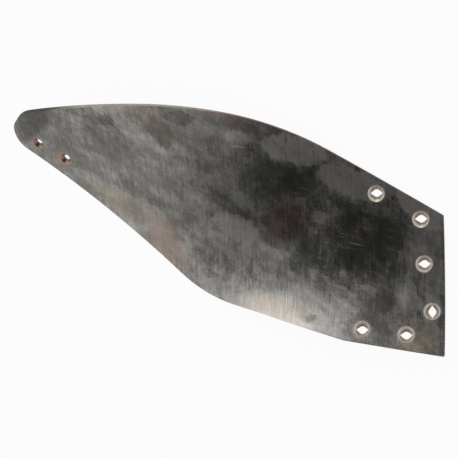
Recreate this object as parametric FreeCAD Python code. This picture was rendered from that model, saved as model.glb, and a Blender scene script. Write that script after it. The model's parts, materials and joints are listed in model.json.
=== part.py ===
import FreeCAD, Part
import math
import os

# Mouldboard of a plough: one steel plate, hollow and twisted, lying on its convex back.
# X runs along the plate from the tail to the front, Y runs across it from the share side to
# the crown side, and Z points up out of the hollow working face. Sizes are in millimetres
# and degrees.

# Plate
PLATE_THICKNESS = 7.0

# Press die: arcs that stand across the plate and change evenly from the tail to the front.
# A tilt turns the arc about the spine, a rise lifts it, and a reach is its half width.
TEMPLATE_SPAN = 450.0
TEMPLATE_COUNT = 9
TAIL_TILT = 52.5
WAIST_TILT = 1.1
FRONT_TILT = -12.8
TAIL_RADIUS = 777.0
WAIST_RADIUS = 827.0
FRONT_RADIUS = 320.0
TAIL_RISE = 45.4
FRONT_RISE = 8.1
TAIL_REACH = 100.0
WAIST_REACH = 170.0
FRONT_REACH = 130.0

# Outline, seen from above: the point corner is where the front seam meets the share seam
POINT_CORNER_X = 359.0
POINT_CORNER_Y = -85.7
FRONT_SEAM_LENGTH = 193.5
FRONT_SEAM_HEADING = 112.4
SHIN_LENGTH = 188.0
SHIN_HEADING = 170.4
CROWN_RADIUS = 520.0
CROWN_TURN = 18.3
SHOULDER_RADIUS = 700.0
SHOULDER_TURN = 10.3
BACK_RADIUS = 1450.0
BACK_TURN = 7.0
TAIL_BEND_RADIUS = 54.0
TAIL_BEND_TURN = 30.7
SHARE_SEAM_LENGTH = 147.0
SHARE_SEAM_HEADING = 193.5
HEEL_LENGTH = 176.0
HEEL_HEADING = 186.5
BELLY_RADIUS = 228.0
BELLY_TURN = 24.8
WING_RADIUS = 7800.0
WING_TURN = 2.1
TAIL_ROUND = 26.0
CORNER_ROUND = 2.5

# Plough bolts: countersunk heads with two nibs, so each hole is a bore, a seat and two notches
SEAT_ANGLE = 90.0
FRONT_BORE = 11.0
FRONT_SEAT = 24.5
FRONT_NOTCH_SPAN = 18.0
TAIL_BORE = 9.0
TAIL_SEAT = 18.0
TAIL_NOTCH_SPAN = 13.0

# Bolt rows, two holes each: along an edge from its corner and square in from that edge. The
# drift is how much further in the second hole lies.
SHIN_BOLT_FIRST = 25.0
SHIN_BOLT_PITCH = 73.7
SHIN_BOLT_INSET = 20.4
SHIN_BOLT_DRIFT = 0.0
SEAM_BOLT_FIRST = 59.3
SEAM_BOLT_PITCH = 66.2
SEAM_BOLT_INSET = 18.1
SEAM_BOLT_DRIFT = 10.7
SHARE_BOLT_FIRST = 57.9
SHARE_BOLT_PITCH = 63.6
SHARE_BOLT_INSET = 19.7
SHARE_BOLT_DRIFT = -2.0
TAIL_BOLT_FIRST = 52.1
TAIL_BOLT_PITCH = 48.9
TAIL_BOLT_INSET = 22.3
TAIL_BOLT_DRIFT = 4.9

# Room that a cutting tool is given beyond what it cuts
CLEAR = 5.0

# Half height of the upright prism and plumb lines that pass right through the plate
THROUGH = 2 * TEMPLATE_SPAN

# How finely the offset face and the resting height are worked out
OFFSET_TOLERANCE = 0.01
MEASURING_TOLERANCE = 0.05


def law(tail, waist, front, x):
    """Value at x of the parabola through the tail, waist and front values."""
    s = x / TEMPLATE_SPAN
    return waist + (front - tail) / 2 * s + ((front + tail) / 2 - waist) * s * s


def template(x):
    """Arc of the die that stands across the plate at x."""
    tilt = math.radians(law(TAIL_TILT, WAIST_TILT, FRONT_TILT, x))
    bend = law(1 / TAIL_RADIUS, 1 / WAIST_RADIUS, 1 / FRONT_RADIUS, x)
    rise = law(TAIL_RISE, 0.0, FRONT_RISE, x)
    reach = law(TAIL_REACH, WAIST_REACH, FRONT_REACH, x)

    def point(y):
        slope = bend * y + math.sin(tilt)
        return FreeCAD.Vector(x, y, rise + (math.cos(tilt) - math.sqrt(1 - slope * slope)) / bend)

    return Part.Arc(point(-reach), point(0.0), point(reach)).toShape()


def die_face():
    """Hollow working face of the die, lofted through its templates."""
    step = 2 * TEMPLATE_SPAN / (TEMPLATE_COUNT - 1)
    arcs = [template(-TEMPLATE_SPAN + step * i) for i in range(TEMPLATE_COUNT)]
    return Part.makeLoft([Part.Wire(arc) for arc in arcs], False, False).Faces[0]


def heading_vector(degrees):
    """Unit vector in plan for a heading."""
    return FreeCAD.Vector(math.cos(math.radians(degrees)), math.sin(math.radians(degrees)), 0)


def side_vector(degrees):
    """Unit vector in plan to the left of a heading."""
    return heading_vector(degrees + 90)


def bend_from(start, heading, radius, turn):
    """Arc that leaves start along heading and turns by turn degrees, left when positive."""
    side = math.copysign(1.0, turn)
    centre = start + side_vector(heading) * side * radius

    def point(share):
        return centre - side_vector(heading + turn * share) * side * radius

    return Part.Arc(start, point(0.5), point(1.0)).toShape(), point(1.0), heading + turn


def meeting_point(a, heading_a, b, heading_b):
    """Point where the line from a along heading_a meets the line from b along heading_b."""
    u = heading_vector(heading_a)
    v = heading_vector(heading_b)
    gap = b - a
    return a + u * ((gap.x * v.y - gap.y * v.x) / (u.x * v.y - u.y * v.x))


def point_corner():
    """Corner where the front seam meets the share seam."""
    return FreeCAD.Vector(POINT_CORNER_X, POINT_CORNER_Y, 0)


def shin_corner():
    """Corner where the front seam meets the straight shin edge."""
    return point_corner() + heading_vector(FRONT_SEAM_HEADING) * FRONT_SEAM_LENGTH


def share_corner():
    """Corner where the share seam meets the heel edge."""
    return point_corner() + heading_vector(SHARE_SEAM_HEADING) * SHARE_SEAM_LENGTH


def upper_edge():
    """Edges from the point corner over the crown to the tail, and the last place and heading."""
    shin = shin_corner()
    crown = shin + heading_vector(SHIN_HEADING) * SHIN_LENGTH
    edges = [Part.makeLine(point_corner(), shin), Part.makeLine(shin, crown)]
    place = crown
    heading = SHIN_HEADING
    for radius, turn in ((CROWN_RADIUS, CROWN_TURN), (SHOULDER_RADIUS, SHOULDER_TURN),
                         (BACK_RADIUS, BACK_TURN), (TAIL_BEND_RADIUS, TAIL_BEND_TURN)):
        edge, place, heading = bend_from(place, heading, radius, turn)
        edges.append(edge)
    return edges, place, heading


def lower_edge():
    """Edges from the point corner along the share seam to the tail, and the last place and heading."""
    corner = share_corner()
    belly = corner + heading_vector(HEEL_HEADING) * HEEL_LENGTH
    edges = [Part.makeLine(point_corner(), corner), Part.makeLine(corner, belly)]
    place = belly
    heading = HEEL_HEADING
    for radius, turn in ((BELLY_RADIUS, -BELLY_TURN), (WING_RADIUS, WING_TURN)):
        edge, place, heading = bend_from(place, heading, radius, turn)
        edges.append(edge)
    return edges, place, heading


def tail_apex():
    """Sharp corner that the tail would have without its rounding."""
    _, above, heading_above = upper_edge()
    _, below, heading_below = lower_edge()
    return meeting_point(above, heading_above, below, heading_below)


def upright_edges(prism, spot):
    """Edges of an upright prism that stand on a plan spot."""
    return [edge for edge in prism.Edges
            if all(math.hypot(v.X - spot.x, v.Y - spot.y) < 0.01 for v in edge.Vertexes)]


def blank_prism():
    """Upright prism on the outline, with its corners rounded."""
    upper, above, _ = upper_edge()
    lower, below, _ = lower_edge()
    apex = tail_apex()
    closing = [Part.makeLine(above, apex), Part.makeLine(apex, below)]
    outline = Part.Wire(Part.__sortEdges__(upper + closing + lower))
    prism = Part.Face(outline).extrude(FreeCAD.Vector(0, 0, 2 * THROUGH))
    prism.translate(FreeCAD.Vector(0, 0, -THROUGH))
    prism = prism.makeFillet(TAIL_ROUND, upright_edges(prism, apex))
    for corner in (point_corner(), shin_corner(), share_corner()):
        prism = prism.makeFillet(CORNER_ROUND, upright_edges(prism, corner))
    return prism


def seat_frame(face, spot):
    """Place on the face at a plan spot, and the face's upward normal there."""
    lift = FreeCAD.Vector(0, 0, THROUGH)
    place = Part.makeLine(spot - lift, spot + lift).distToShape(face)[1][0][1]
    u, v = face.Surface.parameter(place)
    normal = face.Surface.normal(u, v)
    if normal.z < 0:
        normal = normal.negative()
    return place, normal


def bolt_cutter(place, normal, bore, seat, notch_span, notch_heading):
    """Bore, countersunk seat and two nib notches, set square to the plate at place."""
    below = PLATE_THICKNESS + CLEAR
    half_angle = math.radians(SEAT_ANGLE / 2)
    flare = CLEAR * math.tan(half_angle)
    cone_depth = (seat - bore) / 2 / math.tan(half_angle)
    cone = Part.makeCone(bore / 2, seat / 2 + flare, cone_depth + CLEAR,
                         FreeCAD.Vector(0, 0, -cone_depth))
    drill = Part.makeCylinder(bore / 2, below + CLEAR, FreeCAD.Vector(0, 0, -below))
    touch = math.acos(bore / notch_span)
    flank = FreeCAD.Vector(bore / 2 * math.cos(touch), bore / 2 * math.sin(touch), -below)
    tip = FreeCAD.Vector(notch_span / 2, 0, -below)
    half = [tip, flank, FreeCAD.Vector(-flank.x, flank.y, -below)]
    corners = half + [FreeCAD.Vector(-p.x, -p.y, p.z) for p in half] + [tip]
    notches = Part.Face(Part.makePolygon(corners)).extrude(FreeCAD.Vector(0, 0, below + CLEAR))
    cutter = drill.fuse([cone, notches])
    along = heading_vector(notch_heading)
    along = (along - normal * along.dot(normal)).normalize()
    turn = FreeCAD.Rotation(along, normal.cross(along), normal, "ZXY")
    cutter.Placement = FreeCAD.Placement(place, turn)
    return cutter


def bolt_row(corner, heading, inward, first, pitch, inset, drift):
    """Plan spots of the two holes of a row that follows an edge from its corner."""
    return [corner + heading_vector(heading) * (first + pitch * i) + inward * (inset + drift * i)
            for i in range(2)]


def bolt_places():
    """Plan spot, bore, seat, notch span and notch heading of every bolt hole."""
    _, _, wing_heading = lower_edge()
    shin = bolt_row(shin_corner(), SHIN_HEADING, side_vector(SHIN_HEADING),
                    SHIN_BOLT_FIRST, SHIN_BOLT_PITCH, SHIN_BOLT_INSET, SHIN_BOLT_DRIFT)
    seam = bolt_row(point_corner(), FRONT_SEAM_HEADING, side_vector(FRONT_SEAM_HEADING),
                    SEAM_BOLT_FIRST, SEAM_BOLT_PITCH, SEAM_BOLT_INSET, SEAM_BOLT_DRIFT)
    share = bolt_row(point_corner(), SHARE_SEAM_HEADING, side_vector(SHARE_SEAM_HEADING) * -1,
                     SHARE_BOLT_FIRST, SHARE_BOLT_PITCH, SHARE_BOLT_INSET, SHARE_BOLT_DRIFT)
    tail = bolt_row(tail_apex(), wing_heading + 180, side_vector(wing_heading + 180),
                    TAIL_BOLT_FIRST, TAIL_BOLT_PITCH, TAIL_BOLT_INSET, TAIL_BOLT_DRIFT)
    square_to_seam = FRONT_SEAM_HEADING - 90
    lower_seam, upper_seam = seam
    bolts = [(spot, FRONT_BORE, FRONT_SEAT, FRONT_NOTCH_SPAN, square_to_seam)
             for spot in shin + share + [upper_seam]]
    bolts.append((lower_seam, FRONT_BORE, FRONT_SEAT, FRONT_NOTCH_SPAN, FRONT_SEAM_HEADING))
    bolts += [(spot, TAIL_BORE, TAIL_SEAT, TAIL_NOTCH_SPAN, wing_heading) for spot in tail]
    return bolts


def mouldboard():
    """Plate with its outline cut from the die face, thickened behind it, and drilled."""
    sheet = die_face().common(blank_prism()).Faces[0]
    behind = -1.0 if sheet.normalAt(0.5, 0.5).z > 0 else 1.0
    plate = sheet.makeOffsetShape(behind * PLATE_THICKNESS, OFFSET_TOLERANCE,
                                  False, False, 0, 0, True)
    for spot, bore, seat, span, heading in bolt_places():
        place, normal = seat_frame(sheet, spot)
        plate = plate.cut(bolt_cutter(place, normal, bore, seat, span, heading))
    return plate


def set_down(plate):
    """Plate with its lowest point on the ground and its plan centred on the origin."""
    points, _ = plate.tessellate(MEASURING_TOLERANCE)
    middle_x = (min(p.x for p in points) + max(p.x for p in points)) / 2
    middle_y = (min(p.y for p in points) + max(p.y for p in points)) / 2
    lowest = min(p.z for p in points)
    plate.translate(FreeCAD.Vector(-middle_x, -middle_y, -lowest))
    return plate


os.makedirs("parts", exist_ok=True)
set_down(mouldboard()).exportStep("parts/mouldboard.step")
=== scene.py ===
from collections import namedtuple
from functools import reduce
import json
import math

import bpy
from bpy.props import FloatProperty, FloatVectorProperty, PointerProperty
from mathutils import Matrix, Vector

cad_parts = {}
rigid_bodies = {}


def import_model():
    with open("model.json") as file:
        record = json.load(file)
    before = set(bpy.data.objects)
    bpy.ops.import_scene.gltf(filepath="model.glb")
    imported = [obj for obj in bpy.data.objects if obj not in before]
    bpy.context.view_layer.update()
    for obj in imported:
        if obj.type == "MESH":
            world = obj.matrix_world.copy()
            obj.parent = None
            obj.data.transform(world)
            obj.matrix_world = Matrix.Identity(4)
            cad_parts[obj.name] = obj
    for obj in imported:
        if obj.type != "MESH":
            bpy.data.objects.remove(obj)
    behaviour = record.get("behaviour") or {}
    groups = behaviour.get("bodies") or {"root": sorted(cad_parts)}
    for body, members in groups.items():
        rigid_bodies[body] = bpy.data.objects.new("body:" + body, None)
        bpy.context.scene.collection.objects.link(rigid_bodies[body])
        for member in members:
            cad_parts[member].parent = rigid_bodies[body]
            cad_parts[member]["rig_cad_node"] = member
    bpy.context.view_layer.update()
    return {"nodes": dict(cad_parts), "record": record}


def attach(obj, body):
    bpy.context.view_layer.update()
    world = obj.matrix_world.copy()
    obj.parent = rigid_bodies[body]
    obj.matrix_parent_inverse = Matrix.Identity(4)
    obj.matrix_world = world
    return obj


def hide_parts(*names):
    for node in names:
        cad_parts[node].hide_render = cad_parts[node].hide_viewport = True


bl_info = {
    "name": "Plough Mouldboard",
    "version": (1, 0, 0),
    "blender": (4, 5, 0),
    "location": "3D View > Sidebar > Mouldboard",
    "description": "Gives a pressed mouldboard plate its worn steel and lights it on a pale floor",
    "category": "Object",
}

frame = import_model()

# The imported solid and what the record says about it
NODE = "mouldboard"
BODY = "root"
PIECE = "plate"

# Plate thickness and the radius of the countersunk seats, in metres
PLATE_THICKNESS = 0.007
FRONT_SEAT_RADIUS = 0.01225
TAIL_SEAT_RADIUS = 0.009

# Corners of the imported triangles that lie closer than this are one, in metres
MERGE_DISTANCE = 1e-6

# Edges that turn by more than this stay sharp
SHARP_ANGLE = math.radians(30)

# How the faces of a finish are found: a spot in the middle of the plate, how squarely a broad
# side faces up or down there, and how far out the faces of a seat lie, counted in its radius
PLATE_MIDDLE = Vector((0.0, 0.0, 0.02))
BROAD_SLOPE = 0.5
SEAT_REACH = 1.02

# Order of the finishes on the plate
EDGE_FINISH, FACE_FINISH, BACK_FINISH, SEAT_FINISH = range(4)

# Camera: its place in metres, its turn in degrees, its lens and sensor in millimetres, and the
# nearest and furthest that it sees, in metres
CAMERA_PLACE = (0.4176, 0.3353, 1.5542)
CAMERA_TURN = (-7.641, 18.311, 18.671)
LENS = 85.0
SENSOR_WIDTH = 36.0
NEAREST = 0.05
FURTHEST = 60.0

# Floor: how many corners it has, and how far it shows as plain white to the camera and in
# reflections, which leaves the rest to shadows
FLOOR_CORNERS = 96
FLOOR_GLOW = 0.94
WHITE = (1.0, 1.0, 1.0, 1.0)

# Studio light: a dark ceiling over the camera that fades out round its centre, a pale wall on the
# tail side, a dimmer one on the near side, and a bright screen past the crown. A wall or a side of
# the screen has its axis and the directions where it starts and is full, and a wall has its level
CEILING_CENTRE = Vector((0.21, 0.20, 1.0))
CEILING_DARK = math.radians(36)
CEILING_FADED = math.radians(56)
CEILING_LEVEL = 0.045
WALLS = (("X", -0.2, -0.8, 1.35), ("Y", -0.3, -0.9, 0.6))
SCREEN = (("X", -0.29, -0.46), ("X", -0.70, -0.54), ("Y", -0.18, 0.34))

# Headings of the patterns on the plate, seen from above, in degrees from +X
BRUSH_HEADING = 111.0
CLOUD_HEADING = -18.0
SCRATCH_HEADING = 8.0
CRACK_HEADING = -23.0

# A pattern of noise: the heading of its lumps, their length and width in metres, how finely and
# how roughly they are broken up, and how strongly they show. Where the noise is cut into spots,
# cut is the noise at which they start and are full, and strength how much they count there
Pattern = namedtuple("Pattern", "heading length width detail roughness weight cut strength",
                     defaults=(3.0, 0.6, 1.0, None, (0.0, 1.0)))

# Broad patterns in the rubbing of the scale
CLOUDS = Pattern(CLOUD_HEADING, 0.070, 0.030, roughness=0.5, weight=0.60)
PATCHES = Pattern(CLOUD_HEADING, 0.034, 0.016, roughness=0.5, weight=0.70)

# Fine patterns over them: feathers, mottle, brush lines and speckle. Real brush lines are a few
# tenths of a millimetre wide and real speckle is finer still; they are 1.6 and 3.2 mm here, so
# that they show
FINE_PATTERNS = (
    Pattern(BRUSH_HEADING, 0.024, 0.0045, 4.0, weight=0.50),
    Pattern(CLOUD_HEADING, 0.011, 0.008, 5.0, weight=0.62),
    Pattern(BRUSH_HEADING, 0.045, 0.0016, 2.0, weight=0.62),
    Pattern(0.0, 0.0032, 0.0032, weight=0.56),
)

# The thickest scale is bloomed in lumps of 28 mm, with fine wisps over them
BLOOM = Pattern(BRUSH_HEADING, 0.028, 0.014, 4.0, weight=1.4)
WISPS = Pattern(SCRATCH_HEADING, 0.016, 0.0045, 4.0, cut=(0.40, 0.80), strength=(-0.06, 0.24))

# Lines in the scale: rusty strokes, hairlines and, where the noise is low, veins that are left on
# bare steel. Real ones are a few tenths of a millimetre wide; these are lumps of about 2.5 mm cut
# down to about a millimetre, so that they show
STROKES = Pattern(BRUSH_HEADING, 0.016, 0.0024, 1.0, cut=(0.52, 0.62))
HAIRLINES = Pattern(CRACK_HEADING, 0.034, 0.0024, 1.0, cut=(0.55, 0.64))
VEINS = Pattern(BRUSH_HEADING, 0.028, 0.0026, 1.0, cut=(0.64, 0.38))

# Scratches, drawn as coarse as the lines in the scale for the same reason
SCRATCHES = Pattern(SCRATCH_HEADING, 0.050, 0.0034, 1.0, cut=(0.60, 0.66))
RAKES = Pattern(BRUSH_HEADING, 0.040, 0.0030, 1.0, cut=(0.60, 0.66))

# The press leaves waves of about 80 mm, and flaked scale leaves shallow pits of a few millimetres
WAVES = Pattern(CLOUD_HEADING, 0.080, 0.045, 2.0, 0.5)
PITS = Pattern(BRUSH_HEADING, 0.009, 0.004, 4.0, 0.65, weight=0.08)

# Rings round the seats are rubbed in stretches of 9 mm. Rust in the seats has spots of 3 mm, which
# is coarser than real, so that they show
RING_WEAR = Pattern(0.0, 0.009, 0.009, 2.0, cut=(0.38, 0.62), strength=(0.15, 1.0))
SEAT_RUST = Pattern(0.0, 0.003, 0.003, cut=(0.40, 0.65), strength=(0.0, 0.35))

# Blotches of rust about 18 mm across on the sheared edges
EDGE_BLOTCHES = Pattern(0.0, 0.018, 0.018, 4.0, cut=(0.45, 0.70), strength=(0.0, 0.4))

# Back: clouds of 60 mm, thumbed patches of 16 mm and rust spots of 4 mm
BACK_CLOUDS = Pattern(CLOUD_HEADING, 0.060, 0.035, 5.0, weight=1.6)
BACK_PATCHES = Pattern(BRUSH_HEADING, 0.016, 0.008, 4.0, weight=0.8)
BACK_RUST = Pattern(0.0, 0.004, 0.004, cut=(0.60, 0.70), strength=(0.0, 0.5))

# Brush strokes fray an outline by dragging it to and fro, this far in metres
FRAYS = Pattern(BRUSH_HEADING, 0.050, 0.0030)
DRAG = 0.010

# Noise that tears an outline: the size of its lumps and how far it reaches, in metres, and how
# finely and how roughly it is broken up
Tear = namedtuple("Tear", "lump reach detail roughness", defaults=(4.0, 0.6))
PATCH_TEAR = Tear(0.014, 0.009)
TINT_TEAR = Tear(0.012, 0.006)
RAKE_TEAR = Tear(0.030, 0.004)

# Sums of patterns and marks that count as the least and the most rubbing
RUBBING_REACH = (-0.25, 1.25)

# Rubbing at which one layer of scale ends and the next one shows, and the share of the tone that
# lies in these steps
LAYER_EDGES = ((0.06, 0.30), (0.43, 0.52), (0.66, 0.88))
LAYER_SHARE = 0.36

# Tone at which the scale turns thin, and at which thin scale turns to bare steel
THINNING = (-0.35, 0.5)
BARING = (0.5, 1.25)

# Thick scale is glossy, steel rubbed bare is duller and a scratch is duller still: the rubbing
# where each of the first two is reached, their roughness, and what a scratch adds
GLOSS_REACH = (0.1, 0.9)
SCALE_ROUGHNESS = 0.25
BARE_ROUGHNESS = 0.31
SCRATCH_ROUGHNESS = 0.12

# Light line along the share seam, worn and with a painted highlight of the edge's bevel, seen from
# above: a spot on the edge, its heading in degrees, how wide it is in metres and how strongly it
# shows
SHARE_SEAM_SPOT = Vector((0.228, -0.118, 0.0))
SHARE_SEAM_HEADING = 193.5
SHARE_SEAM_WIDTH = 0.003
SHARE_SEAM_HIGHLIGHT = 0.45

# Bands round a seat, from where they start to where they are full, counted in its radius: the
# outer and inner side of the ring on the face, the rust in the hole and the rubbed rim
RING_OUTSIDE = (1.22, 1.15)
RING_INSIDE = (1.05, 1.11)
HOLE_BAND = (0.82, 0.72)
RIM_BAND = (0.95, 0.98)

# How strongly the ring, the rust in the hole, the rubbed rim and the rust at the tail show, and
# where the tail's rust starts and is full along X, in metres
RING_SHARE = 0.6
HOLE_SHARE = 0.45
RIM_SHARE = 0.6
TAIL_SHARE = 0.7
TAIL_BAND = (-0.15, -0.20)

# Rust on the crown's front half
CROWN_RUST = 0.62

# Back: how far its scale is rubbed, the rubbing where it turns thin, and the roughness of its
# thick and of its thin scale
BACK_LEVEL = 0.5
BACK_THINNING = (0.2, 0.9)
BACK_ROUGHNESS = (0.50, 0.38)

# A mark on the working face: plan centre, heading in degrees, half length and half width in
# metres, and how strongly it shows; below zero the scale is thicker there
Mark = namedtuple("Mark", "centre heading reach weight")

# Patches that fade out
SOFT_MARKS = (
    Mark((-0.332, 0.030), 50, (0.040, 0.030), -0.96),
    Mark((-0.350, 0.000), 60, (0.030, 0.022), -0.55),
    Mark((0.080, 0.015), 100, (0.050, 0.034), -0.07),
    Mark((-0.078, 0.012), -20, (0.052, 0.030), 0.14),
    Mark((-0.030, 0.030), -20, (0.040, 0.026), 0.12),
    Mark((0.062, -0.002), 10, (0.040, 0.022), 0.14),
    Mark((0.280, -0.020), 100, (0.050, 0.018), 0.16),
    Mark((-0.150, -0.066), -18, (0.040, 0.020), -0.23),
    Mark((0.205, 0.022), 50, (0.080, 0.060), -0.13),
    Mark((-0.042, -0.018), -20, (0.050, 0.032), 0.20),
    Mark((0.212, -0.058), -10, (0.046, 0.026), -0.27),
    Mark((0.262, -0.048), 60, (0.036, 0.022), -0.12),
    Mark((0.272, -0.088), -30, (0.046, 0.026), -0.20),
    Mark((0.288, -0.048), 100, (0.040, 0.018), 0.16),
    Mark((-0.164, 0.072), 0, (0.034, 0.018), -0.17),
    Mark((-0.136, 0.112), 10, (0.034, 0.014), -0.22),
    Mark((0.142, -0.125), 10, (0.062, 0.015), 0.50),
    Mark((0.066, 0.065), 6, (0.060, 0.036), -0.14),
    Mark((-0.045, -0.060), 60, (0.050, 0.030), 0.15),
    Mark((0.322, -0.070), 20, (0.044, 0.030), 0.20),
    Mark((0.155, -0.092), 5, (0.100, 0.034), 0.18),
    Mark((0.104, -0.116), 10, (0.064, 0.030), 0.42),
    Mark((-0.218, 0.083), 22, (0.050, 0.015), 0.34),
    Mark((-0.215, -0.001), -3, (0.075, 0.010), 0.14),
    Mark((0.298, 0.010), 108, (0.100, 0.040), 0.07),
)

# Patches with a torn outline
TORN_MARKS = (
    Mark((-0.228, 0.057), 18, (0.026, 0.007), -0.18),
    Mark((-0.205, 0.031), -18, (0.050, 0.014), -0.13),
    Mark((-0.135, 0.072), -40, (0.026, 0.018), -0.36),
    Mark((-0.112, 0.104), 10, (0.024, 0.011), -0.35),
    Mark((0.050, 0.074), 0, (0.040, 0.014), -0.17),
    Mark((0.082, 0.066), 20, (0.034, 0.020), -0.16),
    Mark((0.096, 0.092), 50, (0.016, 0.007), -0.25),
    Mark((0.128, -0.028), 80, (0.030, 0.022), -0.19),
    Mark((0.236, 0.040), 90, (0.038, 0.026), -0.22),
    Mark((0.198, 0.046), 10, (0.050, 0.022), -0.20),
    Mark((0.212, -0.004), 70, (0.040, 0.034), -0.20),
    Mark((0.172, -0.012), 35, (0.034, 0.018), -0.08),
    Mark((0.160, 0.064), 0, (0.032, 0.008), -0.20),
    Mark((0.262, -0.042), 60, (0.030, 0.018), -0.10),
    Mark((0.246, -0.010), 40, (0.028, 0.016), -0.14),
    Mark((0.112, 0.050), 90, (0.014, 0.010), -0.19),
    Mark((-0.145, -0.032), -3, (0.058, 0.011), -0.20),
    Mark((-0.118, -0.037), -10, (0.020, 0.007), -0.15),
    Mark((-0.066, -0.076), -10, (0.013, 0.006), -0.22),
    Mark((-0.008, -0.092), 0, (0.013, 0.007), -0.20),
    Mark((0.028, -0.096), 80, (0.016, 0.008), -0.20),
    Mark((0.002, -0.108), 0, (0.018, 0.006), -0.16),
    Mark((0.174, -0.106), 50, (0.012, 0.005), -0.36),
    Mark((-0.016, 0.122), 0, (0.022, 0.011), -0.25),
    Mark((-0.158, 0.062), -30, (0.050, 0.011), 0.18),
    Mark((-0.250, -0.038), -10, (0.018, 0.009), 0.15),
    Mark((-0.020, 0.104), 0, (0.024, 0.011), 0.20),
    Mark((-0.015, 0.082), -10, (0.030, 0.014), 0.14),
    Mark((0.120, 0.122), -8, (0.040, 0.010), 0.20),
    Mark((0.200, 0.111), -12, (0.040, 0.010), 0.25),
    Mark((0.042, 0.030), 20, (0.030, 0.020), -0.14),
    Mark((0.062, 0.114), 8, (0.055, 0.024), 0.48),
    Mark((0.155, 0.096), -2, (0.062, 0.023), 0.50),
    Mark((0.262, 0.098), -22, (0.050, 0.022), 0.50),
    Mark((0.300, 0.014), 108, (0.080, 0.030), 0.13),
    Mark((0.130, 0.033), 20, (0.016, 0.009), 0.24),
    Mark((0.018, -0.026), -8, (0.046, 0.020), 0.28),
    Mark((0.020, -0.040), 0, (0.060, 0.030), 0.10),
    Mark((0.078, -0.040), -8, (0.028, 0.007), 0.30),
    Mark((0.040, -0.062), 95, (0.026, 0.014), 0.18),
    Mark((0.208, -0.060), -15, (0.036, 0.014), 0.28),
)

# Pinkish heat tint
WARM_MARKS = (
    Mark((-0.085, -0.085), -30, (0.090, 0.035), 0.50),
    Mark((-0.170, 0.092), -18, (0.090, 0.025), 0.26),
    Mark((-0.060, 0.128), -4, (0.070, 0.016), 0.40),
    Mark((-0.284, -0.026), 30, (0.024, 0.020), 0.50),
    Mark((-0.332, -0.021), 0, (0.018, 0.016), 0.45),
)

# Yellow straw tint
STRAW_MARKS = (
    Mark((0.112, -0.118), 6, (0.070, 0.028), 0.28),
    Mark((0.330, -0.080), 20, (0.050, 0.035), 0.38),
    Mark((-0.190, -0.055), -20, (0.080, 0.022), 0.26),
    Mark((0.246, -0.092), 0, (0.022, 0.022), 0.28),
    Mark((0.310, -0.076), 0, (0.022, 0.022), 0.28),
    Mark((-0.284, -0.024), 30, (0.024, 0.020), 0.30),
    Mark((-0.332, -0.019), 0, (0.018, 0.016), 0.20),
)

# Thin rust
RUST_MARKS = (
    Mark((0.080, 0.006), 40, (0.056, 0.040), 0.50),
    Mark((0.150, 0.017), 20, (0.026, 0.016), 0.20),
    Mark((0.200, 0.036), 30, (0.010, 0.007), 0.28),
    Mark((0.236, -0.014), 60, (0.022, 0.012), 0.18),
    Mark((-0.166, -0.024), -25, (0.032, 0.014), 0.22),
    Mark((0.174, -0.106), 60, (0.016, 0.010), 0.14),
    Mark((0.012, 0.145), -3, (0.045, 0.006), 0.45),
    Mark((0.078, 0.139), -8, (0.050, 0.005), 0.40),
    Mark((0.150, 0.126), -10, (0.050, 0.004), 0.35),
    Mark((0.235, 0.110), -10, (0.060, 0.004), 0.30),
    Mark((-0.150, 0.090), -30, (0.012, 0.007), 0.40),
    Mark((0.004, 0.137), 0, (0.012, 0.005), 0.50),
    Mark((0.221, 0.097), 0, (0.006, 0.005), 0.70),
    Mark((-0.050, 0.139), -8, (0.060, 0.006), 0.35),
)

# Rusty dark strokes across the brushing
STROKED = (
    Mark((-0.166, -0.024), -25, (0.030, 0.013), 0.30),
    Mark((0.012, -0.090), 10, (0.026, 0.018), 0.35),
    Mark((0.190, -0.022), -10, (0.046, 0.014), 0.25),
    Mark((0.080, -0.085), 10, (0.075, 0.036), 0.28),
)

# Dark hairlines in the scale near the tail
CRACKED = (
    Mark((-0.240, 0.066), -20, (0.066, 0.032), 0.52),
    Mark((-0.140, 0.085), -20, (0.060, 0.032), 0.38),
)

# Where the thick scale is bloomed
BLOOMED = (
    Mark((0.190, 0.005), 30, (0.110, 0.080), 1.0),
)

# Where the bare steel keeps veins of scale
VEINED = (
    Mark((0.110, -0.090), 10, (0.120, 0.060), 0.50),
)

# Where the face is scratched
SCRATCHED = (
    Mark((-0.014, 0.093), 5, (0.040, 0.008), 0.8),
    Mark((0.068, 0.056), 20, (0.038, 0.020), 0.8),
    Mark((0.190, 0.020), 20, (0.045, 0.016), 0.6),
    Mark((0.236, 0.035), 40, (0.030, 0.024), 0.35),
    Mark((0.240, -0.018), -12, (0.026, 0.008), 0.4),
)

# Wavering scratches along the front end
RAKED = (
    Mark((0.303, -0.036), 109, (0.040, 0.018), 0.40),
    Mark((0.150, -0.040), 109, (0.040, 0.030), 0.15),
)

# Share of an oval's radius inside which its mark has its full weight
SOFT_CORE = 0.3
TORN_CORE = 0.75
TINT_CORE = 0.2
LINE_CORE = 0.3
BLOOM_CORE = 0.4

# Reaches of the sheared edges that are darker: the crown's front half, the share seam, where the
# dark is painted shade on the edge face, and the tail.
# Each is made of bands along an axis, from where they start to where they are full, in metres
EDGE_REACHES = (
    (("X", -0.09, 0.0), ("Y", 0.03, 0.07)),
    # Share seam: painted shade on the edge face
    (("X", 0.10, 0.22), ("Y", -0.05, -0.08)),
    (("X", -0.25, -0.32),),
)

# Input places of a Mix node that mixes colours, whose names repeat
MIX_A = 6
MIX_B = 7
MIX_COLOUR = 2


def linear(hex_colour):
    """Linear red, green and blue of an sRGB hex colour."""
    channels = [int(hex_colour[i:i + 2], 16) / 255 for i in (1, 3, 5)]
    return tuple(c / 12.92 if c <= 0.04045 else ((c + 0.055) / 1.055) ** 2.4 for c in channels)


def opaque(colour):
    """Colour with a full alpha, as a shader socket takes it."""
    return (*colour, 1.0)


def select_only(piece):
    """Makes one object the only selected and active one."""
    bpy.ops.object.select_all(action="DESELECT")
    piece.select_set(True)
    bpy.context.view_layer.objects.active = piece


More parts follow.
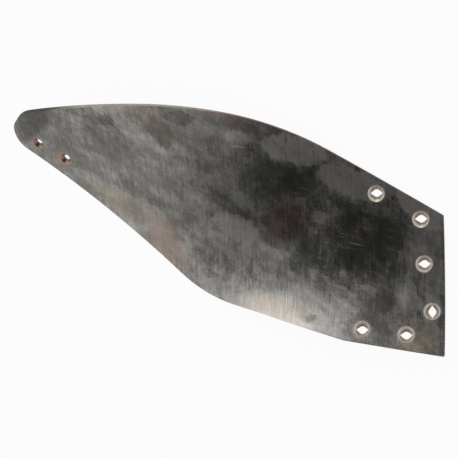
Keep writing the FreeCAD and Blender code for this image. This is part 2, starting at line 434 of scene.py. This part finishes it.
def add_node(tree, kind, inputs=None, **settings):
    """Adds a shader node; inputs holds values, outputs, or nodes whose first output is taken."""
    made = tree.nodes.new("ShaderNode" + kind)
    for name, value in settings.items():
        setattr(made, name, value)
    for socket, value in (inputs or {}).items():
        if isinstance(value, bpy.types.Node):
            value = next(output for output in value.outputs if output.enabled)
        if isinstance(value, bpy.types.NodeSocket):
            tree.links.new(value, made.inputs[socket])
        else:
            made.inputs[socket].default_value = value
    return made


def joined(tree, values, operation):
    """A row of values turned into one by a chain of nodes, each of which takes in the next."""
    return reduce(lambda a, b: add_node(tree, "Math", {0: a, 1: b}, operation=operation), values)


def new_material(name):
    """Empty node material, its tree and the object coordinates that its patterns are drawn on."""
    material = bpy.data.materials.new(name)
    material.use_nodes = True
    tree = material.node_tree
    tree.nodes.clear()
    return material, tree, add_node(tree, "TexCoord").outputs["Object"]


def grain(tree, coords, pattern):
    """Noise whose lumps have the pattern's length and width along its heading."""
    along = add_node(tree, "Mapping", {
        "Vector": coords,
        "Rotation": (0.0, 0.0, math.radians(pattern.heading)),
        "Scale": (pattern.length, pattern.width, pattern.length),
    }, vector_type="TEXTURE")
    return add_node(tree, "TexNoise", {
        "Vector": along,
        "Scale": 1.0,
        "Detail": pattern.detail,
        "Roughness": pattern.roughness,
    })


def spots(tree, coords, pattern):
    """Noise of a pattern, cut into spots."""
    return add_node(tree, "MapRange", {
        "Value": grain(tree, coords, pattern),
        "From Min": pattern.cut[0],
        "From Max": pattern.cut[1],
        "To Min": pattern.strength[0],
        "To Max": pattern.strength[1],
    }, interpolation_type="SMOOTHSTEP")


def dragged(tree, coords):
    """Coordinates pulled to and fro along the brush strokes, which frays what is drawn on them."""
    heading = math.radians(BRUSH_HEADING)
    pull = (DRAG * math.cos(heading), DRAG * math.sin(heading), 0.0)
    middle = add_node(tree, "VectorMath", {0: (-0.5,) * 3, 1: pull, 2: coords},
                      operation="MULTIPLY_ADD")
    return add_node(tree, "VectorMath", {0: grain(tree, coords, FRAYS), 1: pull, 2: middle},
                    operation="MULTIPLY_ADD")


def ragged(tree, coords, tear):
    """Coordinates shaken by noise, so that what is drawn on them gets a torn outline."""
    noise = add_node(tree, "TexNoise", {
        "Vector": coords,
        "Scale": 1 / tear.lump,
        "Detail": tear.detail,
        "Roughness": tear.roughness,
    }).outputs["Color"]
    shift = add_node(tree, "VectorMath", {
        0: noise,
        1: (2 * tear.reach,) * 3,
        2: (-tear.reach,) * 3,
    }, operation="MULTIPLY_ADD")
    return add_node(tree, "VectorMath", {0: coords, 1: shift}, operation="ADD")


def gathered(tree, coords, marks, core, gather):
    """Ovals of the marks, each with its weight in its core and nothing beyond its rim, gathered
    into one value by adding them up or by keeping the strongest."""
    shares = []
    for mark in marks:
        place = add_node(tree, "Mapping", {
            "Vector": coords,
            "Location": (*mark.centre, 0.0),
            "Rotation": (0.0, 0.0, math.radians(mark.heading)),
            "Scale": (*mark.reach, 1.0),
        }, vector_type="TEXTURE")
        shares.append(add_node(tree, "MapRange", {
            "Value": add_node(tree, "VectorMath", {0: place}, operation="LENGTH"),
            "From Min": 1.0,
            "From Max": core,
            "To Min": 0.0,
            "To Max": mark.weight,
        }, interpolation_type="SMOOTHSTEP"))
    return joined(tree, shares, gather)


def scored(tree, coords, pattern, marks):
    """Lines of a pattern inside the ovals of the marks."""
    return add_node(tree, "Math", {
        0: spots(tree, coords, pattern),
        1: gathered(tree, coords, marks, LINE_CORE, "MAXIMUM"),
    }, operation="MULTIPLY")


def weighted(tree, total, fields):
    """A value with patterns added, each drawn on its coordinates, about its middle and with its
    weight."""
    half = sum(pattern.weight for _, pattern in fields) / 2
    total = add_node(tree, "Math", {0: total, 1: -half}, operation="ADD")
    for coords, pattern in fields:
        noise = grain(tree, coords, pattern)
        total = add_node(tree, "Math", {0: noise, 1: pattern.weight, 2: total},
                         operation="MULTIPLY_ADD")
    return total


def reaching(tree, sides, bands):
    """One where every band is full and nothing where one of them hasn't started."""
    steps = [
        add_node(tree, "MapRange", {"Value": sides[axis], "From Min": start, "From Max": full},
                 interpolation_type="SMOOTHSTEP")
        for axis, start, full in bands
    ]
    return joined(tree, steps, "MULTIPLY")


def coloured(tree, base, layers):
    """Colour of a finish whose layers lie over each other, each as far as its share shows."""
    ground = opaque(base)
    for share, colour in layers:
        ground = add_node(tree, "Mix", {0: share, MIX_A: ground, MIX_B: opaque(colour)},
                          data_type="RGBA")
    return ground.outputs[MIX_COLOUR]


def bolt_seats():
    """Centre on the working face and radius of every countersunk seat, from the record."""
    seats = []
    for mount in frame["record"]["mounts"]:
        tail = mount["name"].startswith("bolt_tail")
        front = Vector(mount["pos_m"]) - Vector(mount["axis"]) * PLATE_THICKNESS
        seats.append((front, TAIL_SEAT_RADIUS if tail else FRONT_SEAT_RADIUS))
    return seats


def seat_distance(tree, coords):
    """Distance to the nearest bolt seat's centre, counted in that seat's radius."""
    distances = []
    for centre, radius in bolt_seats():
        away = add_node(tree, "VectorMath", {0: coords, 1: centre}, operation="DISTANCE")
        distances.append(add_node(tree, "Math", {0: away, 1: radius}, operation="DIVIDE"))
    return joined(tree, distances, "MINIMUM")


def rubbing(tree, coords, wear):
    """How far the scale is rubbed through on the working face, from 0 thick to 1 bare.

    Clouds and torn patches carry the listed marks. Bloom lies on the thickest scale,
    strokes and hairlines darken it, and the fine patterns lie over everything."""
    frayed = dragged(tree, coords)
    torn = ragged(tree, frayed, PATCH_TEAR)
    broad = add_node(tree, "MapRange", {
        "Value": joined(tree, (
            weighted(tree, wear, ((frayed, CLOUDS), (torn, PATCHES))),
            gathered(tree, frayed, SOFT_MARKS, SOFT_CORE, "ADD"),
            gathered(tree, torn, TORN_MARKS, TORN_CORE, "ADD"),
        ), "ADD"),
        "From Min": RUBBING_REACH[0],
        "From Max": RUBBING_REACH[1],
    }, interpolation_type="SMOOTHSTEP")
    broad = add_node(tree, "Math", {
        0: weighted(tree, spots(tree, coords, WISPS), ((frayed, BLOOM),)),
        1: gathered(tree, coords, BLOOMED, BLOOM_CORE, "MAXIMUM"),
        2: broad,
    }, operation="MULTIPLY_ADD")
    broad = joined(tree, (
        broad,
        scored(tree, coords, STROKES, STROKED),
        scored(tree, coords, HAIRLINES, CRACKED),
    ), "SUBTRACT")
    return weighted(tree, broad, [(coords, pattern) for pattern in FINE_PATTERNS])


def layered(tree, rub):
    """Rubbing with steps in it, where one layer of scale ends and the next one shows."""
    tones = [add_node(tree, "Math", {0: rub, 1: 1 - LAYER_SHARE}, operation="MULTIPLY")]
    for start, end in LAYER_EDGES:
        tones.append(add_node(tree, "MapRange", {
            "Value": rub,
            "From Min": start,
            "From Max": end,
            "To Max": LAYER_SHARE / len(LAYER_EDGES),
        }, interpolation_type="SMOOTHSTEP"))
    return joined(tree, tones, "ADD")


def seam_wear_and_highlight(tree, coords):
    """Light line along the share seam: wear and a painted highlight of the edge's bevel."""
    heading = math.radians(SHARE_SEAM_HEADING - 90)
    inward = Vector((math.cos(heading), math.sin(heading), 0.0))
    edge = inward.dot(SHARE_SEAM_SPOT)
    return add_node(tree, "MapRange", {
        "Value": add_node(tree, "VectorMath", {0: coords, 1: inward}, operation="DOT_PRODUCT"),
        "From Min": edge + SHARE_SEAM_WIDTH,
        "From Max": edge + SHARE_SEAM_WIDTH / 2,
        "To Max": SHARE_SEAM_HIGHLIGHT,
    }, interpolation_type="SMOOTHSTEP")


def seat_ring(tree, coords):
    """Unevenly rubbed ring on the working face round every bolt seat."""
    distance = seat_distance(tree, coords)
    sides = [
        add_node(tree, "MapRange", {
            "Value": distance,
            "From Min": start,
            "From Max": full,
            "To Max": share,
        })
        for (start, full), share in ((RING_OUTSIDE, 1.0), (RING_INSIDE, RING_SHARE))
    ]
    return joined(tree, (*sides, spots(tree, coords, RING_WEAR)), "MULTIPLY")


def worn_face(plate):
    """Working face: carbon steel pressed red hot, so it has a skin of dark mill scale. The scale
    is rubbed thin or through in ragged patches, which gives a mottled grey with a soft gloss."""
    material, tree, coords = new_material("Mill-scaled hot-pressed steel")
    rub = rubbing(tree, coords, plate.wear)
    tone = layered(tree, rub)
    thin, bare = (
        add_node(tree, "MapRange", {"Value": tone, "From Min": start, "From Max": full})
        for start, full in (THINNING, BARING)
    )
    veins = add_node(tree, "Math", {0: scored(tree, coords, VEINS, VEINED), 1: bare},
                     operation="MULTIPLY")
    bare = add_node(tree, "Math", {0: bare, 1: veins}, operation="SUBTRACT")
    lines = add_node(tree, "Math", {
        0: scored(tree, coords, SCRATCHES, SCRATCHED),
        1: scored(tree, ragged(tree, coords, RAKE_TEAR), RAKES, RAKED),
    }, operation="MAXIMUM")
    torn = ragged(tree, coords, TINT_TEAR)
    tints = (
        (gathered(tree, torn, marks, TINT_CORE, "MAXIMUM"), colour)
        for marks, colour in (
            (WARM_MARKS, plate.warm_colour),
            (STRAW_MARKS, plate.straw_colour),
            (RUST_MARKS, plate.rust_colour),
        )
    )
    colour = coloured(tree, plate.scale_colour, (
        (thin, plate.thin_colour),
        (bare, plate.bare_colour),
        (lines, plate.bare_colour),
        # Wear and a painted highlight of the bevel along the share seam
        (seam_wear_and_highlight(tree, coords), plate.bare_colour),
        *tints,
        (seat_ring(tree, coords), plate.rim_colour),
    ))
    height = add_node(tree, "Math", {
        0: grain(tree, coords, PITS),
        1: PITS.weight,
        2: grain(tree, coords, WAVES),
    }, operation="MULTIPLY_ADD")
    gloss = add_node(tree, "MapRange", {
        "Value": rub,
        "From Min": GLOSS_REACH[0],
        "From Max": GLOSS_REACH[1],
        "To Min": SCALE_ROUGHNESS,
        "To Max": BARE_ROUGHNESS,
    }, interpolation_type="SMOOTHSTEP")
    shader = add_node(tree, "BsdfPrincipled", {
        "Base Color": colour,
        "Metallic": 1.0,
        "Roughness": add_node(tree, "Math", {0: lines, 1: SCRATCH_ROUGHNESS, 2: gloss},
                              operation="MULTIPLY_ADD"),
        "Normal": add_node(tree, "Bump", {"Height": height, "Distance": plate.relief_height}),
    })
    add_node(tree, "OutputMaterial", {"Surface": shader})
    return material


def drilled_seat(plate):
    """Countersunk seats and punched holes: turned steel gone dull with a thin tan rust, redder in
    the hole and at the tail, with a brighter ring where bolt heads rub the rim."""
    material, tree, coords = new_material("Flash-rusted countersunk steel")
    distance = seat_distance(tree, coords)
    hole, rim = (
        add_node(tree, "MapRange", {
            "Value": distance,
            "From Min": start,
            "From Max": full,
            "To Max": share,
        }, interpolation_type="SMOOTHSTEP")
        for (start, full), share in ((HOLE_BAND, HOLE_SHARE), (RIM_BAND, RIM_SHARE))
    )
    tail = add_node(tree, "MapRange", {
        "Value": add_node(tree, "SeparateXYZ", {"Vector": coords}).outputs["X"],
        "From Min": TAIL_BAND[0],
        "From Max": TAIL_BAND[1],
        "To Max": TAIL_SHARE,
    })
    shader = add_node(tree, "BsdfPrincipled", {
        "Base Color": coloured(tree, plate.seat_colour, (
            (spots(tree, coords, SEAT_RUST), plate.rust_colour),
            (hole, plate.rust_colour),
            (rim, plate.rim_colour),
            (tail, plate.rust_colour),
        )),
        "Metallic": 0.85,
        "Roughness": 0.38,
    })
    add_node(tree, "OutputMaterial", {"Surface": shader})
    return material


def sheared_edge(plate):
    """Sheared edges: torn steel, light and tan along the crown's tail half, dark and red with rust
    from there to the front, dark round the tail, and painted dark along the share seam as shade on
    the edge face."""
    material, tree, coords = new_material("Sheared steel edge")
    place = add_node(tree, "SeparateXYZ", {"Vector": coords}).outputs
    crown, seam, tail = (reaching(tree, place, bands) for bands in EDGE_REACHES)
    rust = add_node(tree, "Math", {
        0: crown,
        1: CROWN_RUST,
        2: spots(tree, coords, EDGE_BLOTCHES),
    }, operation="MULTIPLY_ADD")
    shader = add_node(tree, "BsdfPrincipled", {
        "Base Color": coloured(tree, plate.edge_colour, (
            (crown, plate.scale_colour),
            # Painted shade: the share seam's edge face darkened to the scale colour
            (seam, plate.scale_colour),
            (tail, plate.scale_colour),
            (rust, plate.rust_colour),
        )),
        "Metallic": 0.8,
        "Roughness": 0.55,
    })
    add_node(tree, "OutputMaterial", {"Surface": shader})
    return material


def scaled_back(plate):
    """Convex back: the scale is nearly whole, dull and spotted with rust."""
    material, tree, coords = new_material("Mill-scaled steel back")
    rub = weighted(tree, BACK_LEVEL, ((coords, BACK_CLOUDS), (coords, BACK_PATCHES)))
    thin = add_node(tree, "MapRange", {
        "Value": rub,
        "From Min": BACK_THINNING[0],
        "From Max": BACK_THINNING[1],
    })
    shader = add_node(tree, "BsdfPrincipled", {
        "Base Color": coloured(tree, plate.scale_colour, (
            (thin, plate.thin_colour),
            (spots(tree, coords, BACK_RUST), plate.rust_colour),
        )),
        "Metallic": 1.0,
        "Roughness": add_node(tree, "MapRange", {
            "Value": rub,
            "To Min": BACK_ROUGHNESS[0],
            "To Max": BACK_ROUGHNESS[1],
        }),
    })
    add_node(tree, "OutputMaterial", {"Surface": shader})
    return material


def merged_copy():
    """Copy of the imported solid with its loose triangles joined."""
    select_only(frame["nodes"][NODE])
    bpy.ops.object.duplicate()
    piece = bpy.context.object
    piece.name = PIECE
    # The frame marks its nodes, and a copy of one is a piece, so the mark comes off
    del piece["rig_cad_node"]
    piece.data.materials.clear()
    bpy.ops.object.mode_set(mode="EDIT")
    bpy.ops.mesh.select_all(action="SELECT")
    bpy.ops.mesh.remove_doubles(threshold=MERGE_DISTANCE)
    bpy.ops.mesh.customdata_custom_splitnormals_clear()
    bpy.ops.object.mode_set(mode="OBJECT")
    return piece


def select_faces(piece, wanted):
    """Leaves the piece in edit mode with only the wanted faces selected."""
    bpy.ops.object.mode_set(mode="EDIT")
    bpy.ops.mesh.select_mode(type="FACE")
    bpy.ops.mesh.select_all(action="DESELECT")
    bpy.ops.object.mode_set(mode="OBJECT")
    for face in piece.data.polygons:
        face.select = wanted(face)
    bpy.ops.object.mode_set(mode="EDIT")


def paint_selected(piece, slot):
    """Gives the selected faces the material of a slot and leaves edit mode."""
    piece.active_material_index = slot
    bpy.ops.object.material_slot_assign()
    bpy.ops.object.mode_set(mode="OBJECT")


def paint_side(piece, slot, side):
    """Gives the whole broad side that faces up, with 1, or down, with -1, a slot's material."""
    facing = [face for face in piece.data.polygons if face.normal.z * side > BROAD_SLOPE]
    seed = min(facing, key=lambda face: (face.center - PLATE_MIDDLE).length).index
    select_faces(piece, lambda face: face.index == seed)
    bpy.ops.mesh.faces_select_linked_flat(sharpness=SHARP_ANGLE)
    paint_selected(piece, slot)


def assign_finishes(piece, plate):
    """Edge finish all over, then the working face, the back and the seats get their own."""
    select_only(piece)
    for finish in (sheared_edge, worn_face, scaled_back, drilled_seat):
        piece.data.materials.append(finish(plate))
    paint_side(piece, FACE_FINISH, 1)
    paint_side(piece, BACK_FINISH, -1)
    seats = bolt_seats()

    def in_a_seat(face):
        near = any((face.center - centre).length < radius * SEAT_REACH for centre, radius in seats)
        return near and face.material_index == EDGE_FINISH

    select_faces(piece, in_a_seat)
    paint_selected(piece, SEAT_FINISH)
    used = {face.material_index for face in piece.data.polygons}
    for slot, material in enumerate(piece.data.materials):
        if slot not in used:
            raise RuntimeError("No face took the finish " + material.name)


def lay_floor(stage):
    """Wide pale floor."""
    bpy.ops.object.select_all(action="DESELECT")
    bpy.ops.mesh.primitive_circle_add(vertices=FLOOR_CORNERS, radius=stage.floor_radius,
                                      fill_type="NGON")
    floor = bpy.context.object
    floor.name = "floor"
    material, tree, _ = new_material("Matt white floor")
    path = add_node(tree, "LightPath").outputs
    seen = joined(tree, (
        path["Is Camera Ray"],
        path["Is Glossy Ray"],
        path["Is Transmission Ray"],
    ), "MAXIMUM")
    mixed = add_node(tree, "MixShader", {
        0: add_node(tree, "Math", {0: seen, 1: FLOOR_GLOW}, operation="MULTIPLY"),
        1: add_node(tree, "BsdfDiffuse", {"Color": opaque(stage.floor_colour)}),
        2: add_node(tree, "Emission", {"Color": WHITE, "Strength": 1.0}),
    })
    add_node(tree, "OutputMaterial", {"Surface": mixed})
    floor.data.materials.append(material)


def light_studio(stage):
    """Pale walls that fade to a dark ceiling over the camera, and a bright screen past the crown
    that the share edge mirrors. All of it is soft light from far away, so no lamp is hung."""
    world = bpy.data.worlds.new("Studio")
    bpy.context.scene.world = world
    world.use_nodes = True
    tree = world.node_tree
    tree.nodes.clear()
    direction = add_node(tree, "TexCoord").outputs["Generated"]
    overhead = add_node(tree, "VectorMath", {0: direction, 1: CEILING_CENTRE.normalized()},
                        operation="DOT_PRODUCT")
    sides = add_node(tree, "SeparateXYZ", {"Vector": direction}).outputs
    ceiling = (overhead, math.cos(CEILING_FADED), math.cos(CEILING_DARK), CEILING_LEVEL)
    walls = ((sides[axis], start, full, level) for axis, start, full, level in WALLS)
    levels = [
        add_node(tree, "MapRange", {
            "Value": value,
            "From Min": start,
            "From Max": full,
            "To Min": 1.0,
            "To Max": level,
        }, interpolation_type="SMOOTHSTEP")
        for value, start, full, level in (ceiling, *walls)
    ]
    screen = add_node(tree, "Math", {0: stage.screen_level, 1: reaching(tree, sides, SCREEN)},
                      operation="MULTIPLY")
    light = add_node(tree, "Math", {0: joined(tree, levels, "MULTIPLY"), 1: screen},
                     operation="MAXIMUM")
    background = add_node(tree, "Background", {"Color": WHITE, "Strength": light})
    add_node(tree, "OutputWorld", {"Surface": background})


def set_camera():
    """Camera above the front of the plate, as the photograph sees it."""
    bpy.ops.object.select_all(action="DESELECT")
    bpy.ops.object.camera_add(
        location=CAMERA_PLACE, rotation=[math.radians(turn) for turn in CAMERA_TURN])
    camera = bpy.context.object
    camera.data.lens = LENS
    camera.data.sensor_width = SENSOR_WIDTH
    camera.data.clip_start = NEAREST
    camera.data.clip_end = FURTHEST
    bpy.context.scene.camera = camera


def colour_setting(name, description, hex_colour):
    """Colour that a user may change in the panel."""
    return FloatVectorProperty(name=name, description=description, subtype="COLOR", size=3,
                               min=0.0, max=1.0, default=linear(hex_colour))


class PlateSettings(bpy.types.PropertyGroup):
    """Wear, relief and colours of the plate's finish."""

    wear: FloatProperty(
        name="Wear", description="How far the scale is rubbed off between the marks",
        subtype="FACTOR", min=0.0, max=1.0, default=0.48)
    relief_height: FloatProperty(
        name="Relief", description="Height of the waves and pits in the working face",
        unit="LENGTH", min=0.0, precision=4, default=0.0006)
    scale_colour: colour_setting(
        "Mill scale", "Colour of the dark scale left by hot pressing", "#404037")
    thin_colour: colour_setting(
        "Thin scale", "Colour where the scale is rubbed thin", "#8f8d89")
    bare_colour: colour_setting(
        "Bare steel", "Colour of the steel where the scale is gone", "#d6d2cc")
    warm_colour: colour_setting(
        "Heat tint", "Colour of the pinkish tint near the edges", "#a38a80")
    straw_colour: colour_setting(
        "Straw tint", "Colour of the yellow tint along the share seam", "#b8a68c")
    rust_colour: colour_setting(
        "Rust", "Colour of the thin rust", "#724841")
    edge_colour: colour_setting(
        "Sheared edge", "Colour of the sheared edges", "#9f9891")
    seat_colour: colour_setting(
        "Seat", "Colour of the countersunk seats", "#dcd3c7")
    rim_colour: colour_setting(
        "Seat rim", "Colour of the bright ring round each seat", "#c4bbae")


class StageSettings(bpy.types.PropertyGroup):
    """Light and floor."""

    floor_radius: FloatProperty(
        name="Floor radius", description="How far the floor reaches from the plate",
        unit="LENGTH", min=1.0, default=12.0)
    floor_colour: colour_setting("Floor", "Colour of the floor", "#f2f2f2")
    screen_level: FloatProperty(
        name="Screen", description="Brightness of the screen that the share edge mirrors",
        min=0.0, default=2.8)


class MOULDBOARD_OT_plate(bpy.types.Operator):
    """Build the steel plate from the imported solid"""

    bl_idname = "mouldboard.plate"
    bl_label = "Steel Plate"

    def execute(self, context):
        piece = merged_copy()
        assign_finishes(piece, context.scene.mouldboard_plate)
        bpy.ops.object.shade_smooth_by_angle(angle=SHARP_ANGLE)
        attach(piece, BODY)
        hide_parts(NODE)
        return {"FINISHED"}


class MOULDBOARD_OT_stage(bpy.types.Operator):
    """Lay the floor, light the studio and set the camera"""

    bl_idname = "mouldboard.stage"
    bl_label = "Floor, Light and Camera"

    def execute(self, context):
        stage = context.scene.mouldboard_stage
        lay_floor(stage)
        light_studio(stage)
        set_camera()
        context.scene.view_settings.view_transform = "Standard"
        return {"FINISHED"}


class MOULDBOARD_PT_panel(bpy.types.Panel):
    """Lists the pieces and the stage"""

    bl_label = "Mouldboard"
    bl_idname = "MOULDBOARD_PT_panel"
    bl_space_type = "VIEW_3D"
    bl_region_type = "UI"
    bl_category = "Mouldboard"

    def draw(self, context):
        scene = context.scene
        for settings, operator in (
            (scene.mouldboard_plate, MOULDBOARD_OT_plate),
            (scene.mouldboard_stage, MOULDBOARD_OT_stage),
        ):
            box = self.layout.box()
            for name in settings.__annotations__:
                box.prop(settings, name)
            box.operator(operator.bl_idname)


CLASSES = (
    PlateSettings,
    StageSettings,
    MOULDBOARD_OT_plate,
    MOULDBOARD_OT_stage,
    MOULDBOARD_PT_panel,
)


def register():
    """Makes the settings, operators and panel known."""
    for cls in CLASSES:
        bpy.utils.register_class(cls)
    bpy.types.Scene.mouldboard_plate = PointerProperty(type=PlateSettings)
    bpy.types.Scene.mouldboard_stage = PointerProperty(type=StageSettings)


def unregister():
    """Takes them away again."""
    del bpy.types.Scene.mouldboard_stage
    del bpy.types.Scene.mouldboard_plate
    for cls in reversed(CLASSES):
        bpy.utils.unregister_class(cls)


def main():
    """Builds everything in order."""
    register()
    bpy.ops.mouldboard.plate()
    bpy.ops.mouldboard.stage()


if __name__ == "__main__":
    main()
